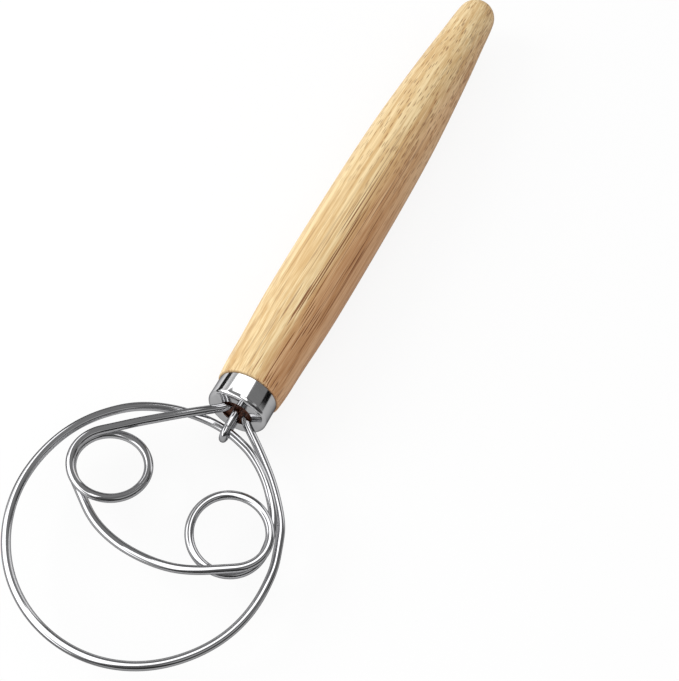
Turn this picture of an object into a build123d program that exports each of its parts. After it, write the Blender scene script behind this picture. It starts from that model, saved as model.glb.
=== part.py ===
from build123d import *
import math
import os

# Dough whisk. A turned hardwood handle carries a steel ferrule, and one long steel
# wire, bent into a ring with two round eyes in it, is set in the handle's end.
# The tool lies along X with the wire head towards +X and the head's plane level.
# The origin is under the middle of the tool, level with the handle's lowest line.
# Lengths are in millimetres and angles in degrees.

# Handle
handle_length = 235.4
handle_diameter = 28.5
shoulder_diameter = 23.4
shoulder_round = 0.8
tip_radius = 8.6
tip_taper = 7.4

# Shape of the handle's side. Places are shares of the length from the shoulder to
# the start of the round tip, and radii are shares of the thickest radius.
front_side_shares = [(0.070, 0.880), (0.144, 0.938), (0.221, 0.974), (0.310, 0.991)]
belly_share = 0.451
rear_side_shares = [(0.560, 0.987), (0.650, 0.949), (0.750, 0.871), (0.850, 0.777), (0.940, 0.675)]
shoulder_slope_share = 0.13

# Ferrule, a drawn steel cap over the handle's tenon
ferrule_diameter = 22.0
ferrule_length = 9.1
ferrule_wall = 0.6
ferrule_edge_radius = 1.5
ferrule_rim_round = 0.15
mouth_clearance = 0.8
tenon_clearance = 0.05
tenon_end_gap = 0.8
tenon_chamfer = 1.1
seam_gap = 0.1

# Wire head, measured over the outside of the ring
wire_diameter = 3.0
head_length = 97.5
head_width = 86.5
layer_gap = 0.45
wire_end_depth = 62.0

# Where the wire leaves the mouth, and the sharp bend that each end takes there
first_hole_offset = 3.5
first_hole_height = -0.1
first_bend_reach = 1.75
first_bend_shift = 1.95
last_hole_offset = -3.3
last_hole_height = 1.7
last_bend_reach = 1.3
last_bend_shift = -1.3

# Eyes, measured between the centre lines of their wire
right_eye_length = 26.2
right_eye_width = 25.8
left_eye_length = 25.4
left_eye_width = 23.6
left_eye_turn = -45

# Retaining hook, a U of thinner wire that ties the ring to the ferrule
hook_wire_diameter = 2.6
hook_clearance = 0.15
hook_depth = 20.6
hook_lean = 8

# Holes drilled in the tenon
hole_clearance = 0.05
hole_end_gap = 0.5

# Stations of the wire: its place along the tool as a share of the ring's length,
# its place across as a share of the ring's width, its height as a share of one
# layer of wire, and its heading in degrees, turning from +X to +Y.
ring_shares = [
    (0.1198, 0.2228, -0.52, 50), (0.2469, 0.3581, -0.74, 36.5), (0.3958, 0.4275, -0.74, 15.5),
    (0.5208, 0.4420, -0.42, 0), (0.7177, 0.3964, -0.06, -23.4), (0.8906, 0.2510, 0.00, -48),
    (1.0000, -0.0719, 0.00, -90), (0.8563, -0.4323, 0.00, -139.5), (0.5573, -0.5580, 0.00, -180),
    (0.2667, -0.4575, -0.03, -215), (0.1521, -0.3317, -0.16, -235),
    (0.0885, -0.1796, -0.32, -254), (0.0719, -0.0599, -0.30, -268),
]
hook_crossing_shares = (0.0750, 0.0054, -0.18, -278)
return_shares = [
    (0.0948, 0.0910, 0.04, -289), (0.1281, 0.1653, 0.30, -302),
    (0.2094, 0.2743, 0.40, -319), (0.2760, 0.3341, 0.24, -329),
]
right_eye_centre_shares = (0.4146, 0.2204)
right_eye_height_shares = [-0.14, -0.06, 0.25, 0.74, 1.11]
smile_shares = [
    (0.5208, 0.3042, 1.05, -777), (0.6010, 0.1509, 0.72, -785),
    (0.6344, -0.0719, 0.15, -812.5), (0.5646, -0.3054, -0.52, -847.5),
    (0.4104, -0.4557, -0.63, -900),
]
left_eye_centre_shares = (0.4073, -0.3126)
left_eye_height_shares = [-0.50, -0.13, 0.26, 0.51, 0.64]
last_run_shares = [(0.2008, -0.2764, 0.76, -1306), (0.0979, -0.1533, 0.80, -1306)]
first_bend_heading = 56
right_eye_heading = -360
left_eye_heading = -900
last_bend_heading = -1305
last_hole_heading = -1260
quarter_turn = 90

# Samples for the printed test of the wire's gap to itself
samples_per_turn_of_wire = 8
near_wire_share = 4

# Worked out from the sizes above
wire_radius = wire_diameter / 2
hook_wire_radius = hook_wire_diameter / 2
layer_pitch = wire_diameter + layer_gap
ring_length = head_length - wire_radius
ring_width = head_width - wire_diameter
handle_radius = handle_diameter / 2
shoulder_radius = shoulder_diameter / 2
ferrule_radius = ferrule_diameter / 2
ferrule_bore_radius = ferrule_radius - ferrule_wall
ferrule_inner_edge_radius = ferrule_edge_radius - ferrule_wall
first_hole_reach = math.hypot(first_hole_offset, first_hole_height)
last_hole_reach = math.hypot(last_hole_offset, last_hole_height)
mouth_radius = max(first_hole_reach, last_hole_reach) + wire_radius + mouth_clearance
tenon_radius = ferrule_bore_radius - tenon_clearance
tenon_end = ferrule_wall + tenon_end_gap
shoulder_start = ferrule_length + seam_gap
handle_reach = shoulder_start + handle_length
tip_start_length = tip_radius * (1 - math.sin(math.radians(tip_taper)))
tip_start_radius = tip_radius * math.cos(math.radians(tip_taper))
tip_tangent = (1, -math.tan(math.radians(tip_taper)))
side_length = handle_length - tip_start_length
hook_bend_radius = wire_radius + hook_wire_radius + hook_clearance

# Centre of the ferrule's mouth, from which every piece is placed
across_shares = [share[1] for share in ring_shares]
mouth_x = (handle_reach - head_length) / 2
mouth_y = -(max(across_shares) + min(across_shares)) * ring_width / 2
mouth_point = Vector(mouth_x, mouth_y, handle_radius)
tool_axis = Axis(mouth_point, (1, 0, 0))
side_plane = Plane(origin=mouth_point, x_dir=(-1, 0, 0), z_dir=(0, 1, 0))
mouth_plane = Plane(origin=mouth_point, x_dir=(0, 1, 0), z_dir=(1, 0, 0))
tenon_plane = mouth_plane.offset(-tenon_end)


def station(shares):
    """A place on the wire, from its shares, with its heading."""
    along, across, height, heading = shares
    place = mouth_point + Vector(along * ring_length, across * ring_width, height * layer_pitch)
    return place, heading


def eye_stations(centre_shares, length, width, height_shares, first_heading, turn=0):
    """Stations a quarter turn apart round an eye, from its outer side and back to it. The turn
    is how far the eye's length is turned from the tool's axis."""
    centre, _ = station((*centre_shares, 0, 0))
    stations = []
    for quarter, height_share in enumerate(height_shares):
        heading = first_heading - quarter * quarter_turn
        side = math.radians(heading + quarter_turn)
        reach = Vector(length / 2 * math.cos(side), width / 2 * math.sin(side), 0).rotate(Axis.Z, turn)
        stations.append((centre + reach + Vector(0, 0, height_share * layer_pitch), heading + turn))
    return stations


def wire_stations():
    """Every station of the free wire in order, from its first hole to its last one."""
    first_hole = mouth_point + Vector(-tenon_end, first_hole_offset, first_hole_height)
    first_bend = first_hole + Vector(tenon_end + first_bend_reach, first_bend_shift, 0)
    last_hole = mouth_point + Vector(-tenon_end, last_hole_offset, last_hole_height)
    last_bend = last_hole + Vector(tenon_end + last_bend_reach, last_bend_shift, 0)
    stations = [(first_hole, 0), (first_bend, first_bend_heading)]
    stations += [station(shares) for shares in ring_shares]
    stations += [station(hook_crossing_shares)]
    stations += [station(shares) for shares in return_shares]
    stations += eye_stations(right_eye_centre_shares, right_eye_length, right_eye_width,
                             right_eye_height_shares, right_eye_heading)
    stations += [station(shares) for shares in smile_shares]
    stations += eye_stations(left_eye_centre_shares, left_eye_length, left_eye_width,
                             left_eye_height_shares, left_eye_heading, left_eye_turn)
    stations += [station(shares) for shares in last_run_shares]
    stations += [(last_bend, last_bend_heading), (last_hole, last_hole_heading)]
    return stations


def plan_distance(start, end):
    """The distance between two places seen from above."""
    return math.hypot(end.X - start.X, end.Y - start.Y)


def wire_tangents(stations):
    """Unit tangents: the heading seen from above, with the climb between the neighbours."""
    tangents = []
    for index, (place, heading) in enumerate(stations):
        climb = 0
        if 0 < index < len(stations) - 1:
            before, after = stations[index - 1][0], stations[index + 1][0]
            climb = (after.Z - before.Z) / (plan_distance(before, place) + plan_distance(place, after))
        angle = math.radians(heading)
        tangents.append(Vector(math.cos(angle), math.sin(angle), climb).normalized())
    return tangents


def add_biarc(start, start_tangent, end, end_tangent):
    """Two arcs that join start to end and keep both tangents. They meet halfway between
    the points that lie one equal reach along the two tangents."""
    chord = end - start
    linear = 2 * chord.dot(start_tangent + end_tangent)
    quadratic = 2 * (1 - start_tangent.dot(end_tangent))
    reach = 2 * chord.dot(chord) / (linear + math.sqrt(linear ** 2 + 4 * quadratic * chord.dot(chord)))
    start_reach = start + start_tangent * reach
    end_reach = end - end_tangent * reach
    joint = (start_reach + end_reach) / 2
    TangentArc(start, joint, tangent=start_tangent)
    TangentArc(joint, end, tangent=(end_reach - start_reach).normalized())


def least_gap(wire, radius):
    """The least gap between two stretches of a wire that lie apart along it, from points on it."""
    steps = round(wire.length / radius * samples_per_turn_of_wire / 2)
    points = [tuple(wire @ (step / steps)) for step in range(steps + 1)]
    skipped = round(near_wire_share * 2 * radius * steps / wire.length)
    distances = [math.dist(point, other)
                 for index, point in enumerate(points) for other in points[index + skipped:]]
    return min(distances) - 2 * radius


# Handle, turned from one length of hardwood, with a tenon drilled for four wire ends
belly = (shoulder_start + belly_share * side_length, handle_radius)
shoulder_edge = (shoulder_start + shoulder_round, shoulder_radius)
tip_start = (handle_reach - tip_start_length, tip_start_radius)
tip_end = (handle_reach, 0)
front_side = [(shoulder_start + along * side_length, radius * handle_radius)
              for along, radius in front_side_shares]
rear_side = [(shoulder_start + along * side_length, radius * handle_radius)
             for along, radius in rear_side_shares]
stations = wire_stations()
tangents = wire_tangents(stations)
first_place = stations[0][0]
last_place = stations[-1][0]
hook_centre = station(hook_crossing_shares)[0]
hook_side = Vector(0, -math.sin(math.radians(hook_lean)), math.cos(math.radians(hook_lean)))
hook_offset = hook_side * hook_bend_radius
hook_places = [hook_centre + hook_offset, hook_centre - hook_offset]

with BuildPart() as handle:
    with BuildSketch(side_plane):
        with BuildLine():
            Polyline((handle_reach, 0), (tenon_end, 0), (tenon_end, tenon_radius - tenon_chamfer),
                     (tenon_end + tenon_chamfer, tenon_radius), (shoulder_start, tenon_radius),
                     (shoulder_start, shoulder_radius - shoulder_round))
            TangentArc((shoulder_start, shoulder_radius - shoulder_round), shoulder_edge, tangent=(0, 1))
            Spline(shoulder_edge, *front_side, belly, tangents=((1, shoulder_slope_share), (1, 0)))
            Spline(belly, *rear_side, tip_start, tangents=((1, 0), tip_tangent))
            TangentArc(tip_start, tip_end, tangent=tip_tangent)
        make_face()
    revolve(axis=tool_axis)
    wire_hole_places = [tenon_plane.to_local_coords(place) for place in (first_place, last_place)]
    hook_hole_places = [tenon_plane.to_local_coords(place) for place in hook_places]
    with Locations(tenon_plane):
        with Locations(*[(place.X, place.Y) for place in wire_hole_places]):
            Hole(wire_radius + hole_clearance, depth=wire_end_depth + hole_end_gap)
        with Locations(*[(place.X, place.Y) for place in hook_hole_places]):
            Hole(hook_wire_radius + hole_clearance, depth=hook_depth + hole_end_gap)

# Ferrule, closed at the front but for the round mouth that the wires come out of
with BuildPart() as ferrule:
    with BuildSketch(side_plane):
        with BuildLine():
            Line((0, mouth_radius), (0, ferrule_radius - ferrule_edge_radius))
            TangentArc((0, ferrule_radius - ferrule_edge_radius), (ferrule_edge_radius, ferrule_radius),
                       tangent=(0, 1))
            Polyline((ferrule_edge_radius, ferrule_radius), (ferrule_length, ferrule_radius),
                     (ferrule_length, ferrule_bore_radius), (ferrule_edge_radius, ferrule_bore_radius))
            TangentArc((ferrule_edge_radius, ferrule_bore_radius),
                       (ferrule_wall, ferrule_bore_radius - ferrule_inner_edge_radius), tangent=(-1, 0))
            Polyline((ferrule_wall, ferrule_bore_radius - ferrule_inner_edge_radius),
                     (ferrule_wall, mouth_radius), (0, mouth_radius))
        make_face()
    revolve(axis=tool_axis)
    mouth_edges = ferrule.edges().filter_by(GeomType.CIRCLE).filter_by(
        lambda edge: math.isclose(edge.radius, mouth_radius, rel_tol=1e-6))
    fillet(mouth_edges, ferrule_rim_round)
    rim_edges = ferrule.edges().group_by(Axis.X)[0]
    fillet(rim_edges, ferrule_rim_round)

# Whisk wire, one unbroken length from its first hole round the head to its last hole
with BuildPart() as whisk_wire:
    with BuildLine() as wire_line:
        Line(first_place - Vector(wire_end_depth, 0, 0), first_place)
        for index in range(len(stations) - 1):
            add_biarc(stations[index][0], tangents[index], stations[index + 1][0], tangents[index + 1])
        Line(last_place, last_place - Vector(wire_end_depth, 0, 0))
    with BuildSketch(Plane(origin=first_place - Vector(wire_end_depth, 0, 0), z_dir=(1, 0, 0))):
        Circle(wire_radius)
    sweep(path=wire_line.wires()[0])

# Retaining hook, bent round the ring where it crosses in front of the mouth
hook_ends = [Vector(tenon_plane.origin.X - hook_depth, place.Y, place.Z) for place in hook_places]
with BuildPart() as retaining_hook:
    with BuildLine() as hook_line:
        Line(hook_ends[0], hook_places[0])
        ThreePointArc(hook_places[0], hook_centre + Vector(hook_bend_radius, 0, 0), hook_places[1])
        Line(hook_places[1], hook_ends[1])
    with BuildSketch(Plane(origin=hook_ends[0], z_dir=(1, 0, 0))):
        Circle(hook_wire_radius)
    sweep(path=hook_line.wires()[0])

os.makedirs("parts", exist_ok=True)
handle.part.label = "handle"
export_step(handle.part, "parts/handle.step")
ferrule.part.label = "ferrule"
export_step(ferrule.part, "parts/ferrule.step")
whisk_wire.part.label = "whisk_wire"
export_step(whisk_wire.part, "parts/whisk_wire.step")
retaining_hook.part.label = "retaining_hook"
export_step(retaining_hook.part, "parts/retaining_hook.step")

wire_path = wire_line.wires()[0]
bend_radii = [edge.radius for edge in wire_path.edges() if edge.geom_type == GeomType.CIRCLE]
tube_volume = math.pi * wire_radius ** 2 * wire_path.length
print(f"wire length {wire_path.length:.1f}, tightest bend {min(bend_radii):.2f}")
print(f"wire volume {whisk_wire.part.volume:.1f}, section times length {tube_volume:.1f}")
print(f"wire's least gap to itself {least_gap(wire_path, wire_radius):.2f}")
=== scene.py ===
"""A dough whisk: a turned hardwood handle, a polished steel ferrule, one bent steel wire and its hook.

Every form is worked out in millimetres from the middle of the ferrule's mouth: along the tool
towards the wire head, across it, and up from the head's plane. in_row then puts it in the row.
"""

from __future__ import annotations

import logging
import math
from dataclasses import dataclass, field
from enum import Enum
from functools import reduce
from operator import mul
from typing import Any, Sequence

import bpy
import numpy as np
from mathutils import Matrix, Vector


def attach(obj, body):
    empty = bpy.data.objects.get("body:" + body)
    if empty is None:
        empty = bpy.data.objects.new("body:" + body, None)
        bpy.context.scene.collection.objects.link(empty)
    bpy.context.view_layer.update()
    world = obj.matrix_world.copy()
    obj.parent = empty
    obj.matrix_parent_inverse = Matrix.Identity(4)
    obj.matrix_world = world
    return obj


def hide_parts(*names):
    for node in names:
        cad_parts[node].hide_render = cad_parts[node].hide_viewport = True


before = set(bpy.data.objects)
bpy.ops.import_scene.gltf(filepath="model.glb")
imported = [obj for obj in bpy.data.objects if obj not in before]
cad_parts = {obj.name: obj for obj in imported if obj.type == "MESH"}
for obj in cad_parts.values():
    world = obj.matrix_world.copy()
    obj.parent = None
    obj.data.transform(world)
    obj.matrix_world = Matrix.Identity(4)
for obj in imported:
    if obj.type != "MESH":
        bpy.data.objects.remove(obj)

METRES = 0.001
MOUTH = (73.55, 4.843, 14.25)  # the middle of the ferrule's mouth in the row, in millimetres
SAME_PLACE = 1e-6
BODY = "root"
LAID_OUT = "laid_out"
SHARP_ANGLE = math.radians(50)
WHITE = (1.0, 1.0, 1.0, 1.0)
AHEAD = np.array([1.0, 0.0, 0.0])
UPWARDS = np.array([0.0, 0.0, 1.0])
NO_TRIANGLES = np.empty((0, 3), dtype=int)

Array = np.ndarray
Pair = tuple[float, float]
Triple = tuple[float, float, float]
Numbers = tuple[float, ...]
Material = bpy.types.Material
Object = bpy.types.Object

log = logging.getLogger("dough_whisk")


# Places and meshes


def in_row(places: Array) -> Array:
    """Moves places of the tool, in millimetres, to places of the row, in metres: (p + mouth) / 1000."""
    return (places + np.array(MOUTH)) * METRES


def unit(arrows: Array) -> Array:
    """Gives vectors of length one: each row divided by its own length."""
    return arrows / np.linalg.norm(arrows, axis=-1, keepdims=True)


def even_steps(start: float, end: float, step: float) -> Array:
    """Gives evenly spaced numbers from start to end, about a step apart."""
    return np.linspace(start, end, round((end - start) / step) + 1)


def ring_quads(rings: int, sides: int, looped: bool = False) -> Array:
    """Joins neighbouring rings of points with four-sided faces.

    The corner of ring i and side j is i * sides + j, and a face takes the corners
    (i, j), (i, j + 1), (i + 1, j + 1) and (i + 1, j), where j closes on itself.

    Args:
        rings: How many rings there are.
        sides: How many points each ring has.
        looped: Whether the last ring joins the first.

    Returns:
        The faces' corners, four to a row.
    """
    ring = np.arange(rings if looped else rings - 1)[:, None]
    side = np.arange(sides)[None, :]
    next_ring, next_side = (ring + 1) % rings, (side + 1) % sides
    corners = [ring * sides + side, ring * sides + next_side,
               next_ring * sides + next_side, next_ring * sides + side]
    return np.stack([np.broadcast_to(c, (ring.size, sides)) for c in corners], axis=-1).reshape(-1, 4)


def end_fans(rings: int, sides: int) -> Array:
    """Closes both ends of a stack of rings with triangles to two poles.

    The poles' numbers follow the rings' points: first the one below ring 0, then the
    one above the last ring. Each triangle takes two neighbours of a ring and its pole.

    Args:
        rings: How many rings there are.
        sides: How many points each ring has.

    Returns:
        The faces' corners, three to a row.
    """
    side = np.arange(sides)
    following = (side + 1) % sides
    first_pole, last_pole = rings * sides, rings * sides + 1
    last_ring = (rings - 1) * sides
    first = np.stack([following, side, np.full(sides, first_pole)], axis=-1)
    last = np.stack([last_ring + side, last_ring + following, np.full(sides, last_pole)], axis=-1)
    return np.concatenate([first, last])


def enclosed_volume(points: Array, triangles: Array) -> float:
    """Adds up a sixth of a . (b x c) over the triangles, which is positive when they face outwards."""
    a, b, c = (points[triangles[:, k]] for k in range(3))
    return float(np.einsum("ij,ij->i", a, np.cross(b, c)).sum() / 6)


def linked(name: str, data: bpy.types.ID) -> Object:
    """Makes an object at the origin and links it to the scene.

    Args:
        name: The object's name.
        data: Its mesh, light or camera.

    Returns:
        The object.
    """
    thing = bpy.data.objects.new(name, data)
    bpy.context.scene.collection.objects.link(thing)
    return thing


def plain_mesh(name: str, points: Array, faces: list[list[int]]) -> Object:
    """Makes a mesh object.

    Args:
        name: The object's name, which its mesh has too.
        points: Corners in the row's metres, one to a row.
        faces: Each face's corner numbers.

    Returns:
        The object, at the origin.
    """
    mesh = bpy.data.meshes.new(name)
    mesh.from_pydata(points.tolist(), [], faces)
    return linked(name, mesh)


def mesh_piece(name: str, places: Array, quads: Array,
               triangles: Array = NO_TRIANGLES) -> Object:
    """Makes a smooth mesh piece from places of the tool, with its faces pointing outwards.

    Args:
        name: The piece's name.
        places: Corners in the tool's millimetres, one to a row.
        quads: Four corner numbers a row.
        triangles: Three corner numbers a row, where the ends close.

    Returns:
        The piece, at the origin, with its place in its mesh.
    """
    points = in_row(places)
    every_triangle = np.concatenate([quads[:, [0, 1, 2]], quads[:, [0, 2, 3]], triangles])
    if enclosed_volume(points, every_triangle) < 0:
        quads, triangles = quads[:, ::-1], triangles[:, ::-1]
    piece = plain_mesh(name, points, quads.tolist() + triangles.tolist())
    piece.data.polygons.foreach_set("use_smooth", np.ones(len(quads) + len(triangles), dtype=bool))
    piece.data.update()
    return piece


def rounded_corners(corners: Sequence[Triple], steps: int = 8,
                    looped: bool = False) -> Array:
    """Rounds the corners of a flat outline.

    At a corner with radius r, where the outline turns by the angle t, the round starts and ends
    r tan(t / 2) from the corner, and its points are centre + r (cos, sin) of evenly spaced angles.

    Args:
        corners: Place along, place across and radius of each corner.
        steps: How many pieces each round has.
        looped: Whether the outline closes on itself. Otherwise its two ends stay as they are.

    Returns:
        The points of the rounded outline, two numbers a row.
    """
    table = np.array(corners, dtype=float)
    spots, radii = table[:, :2], table[:, 2]
    inward = unit(np.roll(spots, 1, axis=0) - spots)
    onward = unit(np.roll(spots, -1, axis=0) - spots)
    opening = np.arccos(np.clip((inward * onward).sum(axis=1), -1, 1))
    start = spots + inward * (radii / np.tan(opening / 2))[:, None]
    centre = spots + unit(inward + onward) * (radii / np.sin(opening / 2))[:, None]
    first = start - centre
    side = np.sign(inward[:, 1] * onward[:, 0] - inward[:, 0] * onward[:, 1])
    angle = ((np.pi - opening) * side)[:, None] * np.linspace(0, 1, steps + 1)[None, :]
    arcs = np.stack([
        centre[:, None, 0] + first[:, None, 0] * np.cos(angle) - first[:, None, 1] * np.sin(angle),
        centre[:, None, 1] + first[:, None, 0] * np.sin(angle) + first[:, None, 1] * np.cos(angle),
    ], axis=-1)
    inner = arcs if looped else arcs[1:-1]
    rounded = inner.reshape(-1, 2)
    if not looped:
        rounded = np.concatenate([spots[:1], rounded, spots[-1:]])
    apart = np.linalg.norm(np.diff(rounded, axis=0), axis=1) > SAME_PLACE
    return rounded[np.concatenate([[True], apart])]


def turned_points(profile: Array, sides: int) -> Array:
    """Turns a profile about the tool's axis.

    A profile point (back, radius) gives the ring (-back, radius cos a, radius sin a), where a
    runs evenly round the axis and back is measured from the mouth towards the handle's end.

    Args:
        profile: The profile's points, two numbers a row.
        sides: How many points each ring has.

    Returns:
        The rings' points, three numbers a row.
    """
    angle = np.linspace(0, 2 * np.pi, sides, endpoint=False)[None, :]
    back, radius = profile[:, :1], profile[:, 1:]
    ring = [np.broadcast_to(-back, (len(profile), sides)), radius * np.cos(angle), radius * np.sin(angle)]
    return np.stack(ring, axis=-1).reshape(-1, 3)


@dataclass
class CentreLine:
    """A wire's centre line: its points, its directions and how far along it each point is."""

    points: Array
    directions: Array
    lengths: Array

    @classmethod
    def through(cls, points: Array) -> CentreLine:
        """Makes a centre line from close points, with directions from their neighbours.

        Args:
            points: The points, three numbers a row.

        Returns:
            The centre line.
        """
        directions = unit(np.gradient(points, axis=0))
        steps = np.linalg.norm(np.diff(points, axis=0), axis=1)
        return cls(points, directions, np.concatenate([[0], np.cumsum(steps)]))

    def tube(self, name: str, radius: float, sides: int, reference: Array,
             end_round: float) -> Object:
        """Carries a circle along the centre line and makes the closed tube a piece.

        With the direction t and a fixed reference vector e, the ring's axes are n = e x t made
        unit length and b = t x n, and a ring's point is centre + r (n cos a + b sin a). Near both
        ends r shrinks as a quarter circle, r - q + sqrt(q^2 - (q - d)^2) at the distance d. Each
        point's place on the wire laid out straight, (radius cos a, radius sin a, length), is
        stored as an attribute.

        Args:
            name: The piece's name.
            radius: The tube's radius.
            sides: How many points each ring has.
            reference: A vector that the line never runs along.
            end_round: The radius q of the round at both ends.

        Returns:
            The piece.
        """
        first = unit(np.cross(reference[None, :], self.directions))
        second = np.cross(self.directions, first)
        angle = np.linspace(0, 2 * np.pi, sides, endpoint=False)[None, :, None]
        from_end = np.minimum(self.lengths, self.lengths[-1] - self.lengths)
        short = end_round - np.minimum(from_end, end_round)
        radii = radius - end_round + np.sqrt(end_round ** 2 - short ** 2)
        around = first[:, None, :] * np.cos(angle) + second[:, None, :] * np.sin(angle)
        points = self.points[:, None, :] + radii[:, None, None] * around
        flat_axes = [radius * np.cos(angle[..., 0]), radius * np.sin(angle[..., 0]), self.lengths[:, None]]
        flat = np.stack([np.broadcast_to(axis, points.shape[:2]) for axis in flat_axes], axis=-1)
        pole_flat = np.array([[0, 0, 0], [0, 0, self.lengths[-1]]])
        rings = len(self.points)
        piece = mesh_piece(name, np.concatenate([points.reshape(-1, 3), self.points[[0, -1]]]),
                           ring_quads(rings, sides), end_fans(rings, sides))
        attribute = piece.data.attributes.new(LAID_OUT, "FLOAT_VECTOR", "POINT")
        laid_out = np.concatenate([flat.reshape(-1, 3), pole_flat])
        attribute.data.foreach_set("vector", laid_out.astype(np.float32).ravel())
        return piece


# Shader maths


class Measure(Enum):
    """What a tone steps on: a place or direction along, across or up, its turn, or its slanted turn."""

    ALONG = "along"
    ACROSS = "across"
    UP = "up"
    TURN = "turn"
    SLANT = "slant"


ALONG, ACROSS, UP, TURN, SLANT = Measure
Steps = Sequence[tuple[Measure, float, float]]


@dataclass(frozen=True)
class Tone:
    """A level laid over an area, or over two. A step of an area names a measure and its 0 and its 1."""

    level: float
    area: Steps
    other_area: Steps = ()

    def share(self, measures: dict[Measure, Signal]) -> Signal:
        """Multiplies the eased steps of each area and takes the larger product.

        Args:
            measures: The signal behind each measure.

        Returns:
            1 inside the areas and 0 outside them.
        """
        masks = [reduce(mul, [measures[measure].fit(nought, one) for measure, nought, one in area])
                 for area in (self.area, self.other_area) if area]
        return reduce(Signal.larger, masks)


class Shading:
    """A material's or the world's nodes, with one method that makes any node."""

    def __init__(self, tree: bpy.types.NodeTree) -> None:
        """Starts from an empty tree."""
        tree.nodes.clear()
        self.tree = tree

    def make(self, kind: str, settings: dict[str, Any] | None = None,
             inputs: dict[Any, Any] | None = None) -> bpy.types.Node:
        """Makes one node.

        Args:
            kind: The node's type, such as ShaderNodeTexNoise.
            settings: Its own settings, set first.
            inputs: Values, or signals and sockets to link, by the socket's name or number.

        Returns:
            The new node.
        """
        node = self.tree.nodes.new(kind)
        for name, value in (settings or {}).items():
            setattr(node, name, value)
        for name, value in (inputs or {}).items():
            socket = node.inputs[name]
            source = value.socket if isinstance(value, Signal) else value
            if isinstance(source, bpy.types.NodeSocket):
                self.tree.links.new(source, socket)
            else:
                socket.default_value = source
        return node

    def signal(self, kind: str, output: Any = 0, settings: dict[str, Any] | None = None,
               inputs: dict[Any, Any] | None = None) -> Signal:
        """Makes one node and gives one of its outputs as a signal."""
        return Signal(self, self.make(kind, settings, inputs).outputs[output])

    def axes(self, vector: Any) -> list[Signal]:
        """Splits a vector into its three numbers."""
        node = self.make("ShaderNodeSeparateXYZ", inputs={0: vector})
        return [Signal(self, socket) for socket in node.outputs]

    def blend(self, share: Any, first: Any, second: Any) -> Signal:
        """Mixes two colours by a share."""
        return self.signal("ShaderNodeMix", 2, {"data_type": "RGBA"}, {0: share, 6: first, 7: second})

    def layer(self, level: Any, share: Signal, over: Any) -> Signal:
        """Lays one number over another by a share: level + (over - level) share."""
        return share * (over - level) + level

    def toned(self, level: Any, tones: Sequence[Tone], measures: dict[Measure, Signal]) -> Signal:
        """Lays tones over a level, one after the other.

        Args:
            level: The level below them all.
            tones: The tones, the lowest first.
            measures: The signal behind each measure that they step on.

        Returns:
            The level that shows.
        """
        for tone in tones:
            level = self.layer(level, tone.share(measures), tone.level)
        return level

    def stretched(self, vector: Signal, scale: Sequence[float], shift: Sequence[float] = (0, 0, 0),
                  turn: Sequence[float] = (0, 0, 0)) -> Signal:
        """Scales, turns and shifts a pattern's coordinates."""
        return self.signal("ShaderNodeMapping", 0, {"vector_type": "POINT"},
                           {"Vector": vector, "Location": shift, "Rotation": turn, "Scale": scale})

    def bump(self, height: Signal, strength: float, distance: float) -> Signal:
        """Turns heights into relief, with distance in metres."""
        return self.signal("ShaderNodeBump", inputs={
            "Strength": strength, "Distance": distance, "Height": height})

    def show(self, shader: bpy.types.Node, output: str = "ShaderNodeOutputMaterial") -> None:
        """Shows a shader as the surface."""
        self.make(output, inputs={"Surface": shader.outputs[0]})


class Signal:
    """One output socket, worked with as a number: an expression on it adds its Math nodes."""

    def __init__(self, shading: Shading, socket: bpy.types.NodeSocket) -> None:
        """Wraps a socket of a tree."""
        self.shading = shading
        self.socket = socket

    def _math(self, operation: str, *values: Any) -> Signal:
        """Adds one Math node on the given values."""
        return self.shading.signal("ShaderNodeMath", 0, {"operation": operation}, dict(enumerate(values)))

    def __add__(self, other: Any) -> Signal:
        """Adds."""
        return self._math("ADD", self, other)

    __radd__ = __add__

    def __sub__(self, other: Any) -> Signal:
        """Subtracts."""
        return self._math("SUBTRACT", self, other)

    def __rsub__(self, other: Any) -> Signal:
        """Subtracts this from a number."""
        return self._math("SUBTRACT", other, self)

    def __mul__(self, other: Any) -> Signal:
        """Multiplies."""
        return self._math("MULTIPLY", self, other)

    __rmul__ = __mul__

    def larger(self, other: Any) -> Signal:
        """Takes the larger of the two."""
        return self._math("MAXIMUM", self, other)

    def turned_from(self, up: Signal) -> Signal:
        """Gives the angle atan2(this, up) in degrees."""
        return self._math("ARCTAN2", self, up) * (180 / math.pi)

    def between(self, at_nought: float, at_one: float) -> Signal:
        """Runs from one number where this is 0 to the other where it is 1."""
        return self * (at_one - at_nought) + at_nought

    def fit(self, low: float, high: float, to_low: float = 0.0, to_high: float = 1.0,
            smooth: bool = True) -> Signal:
        """Maps low to to_low and high to to_high, held beyond them, with an eased or a straight run."""
        settings = {"interpolation_type": "SMOOTHSTEP" if smooth else "LINEAR", "clamp": True}
        return self.shading.signal("ShaderNodeMapRange", 0, settings,
                                   {0: self, 1: low, 2: high, 3: to_low, 4: to_high})


def new_material(name: str) -> tuple[Material, Shading]:
    """Makes a material.

    Args:
        name: The material's name.

    Returns:
        The material and its empty tree.
    """
    material = bpy.data.materials.new(name)
    material.use_nodes = True
    return material, Shading(material.node_tree)


def colour(red: float, green: float, blue: float) -> Numbers:
    """Turns a screen colour, 0 to 255 a channel, into the linear light that a socket holds.

    A channel c / 255 becomes ((c / 255 + 0.055) / 1.055) ^ 2.4.
    """
    channels = (np.array([red, green, blue]) / 255 + 0.055) / 1.055
    return (*map(float, channels ** 2.4), 1.0)


# Finishes


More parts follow.
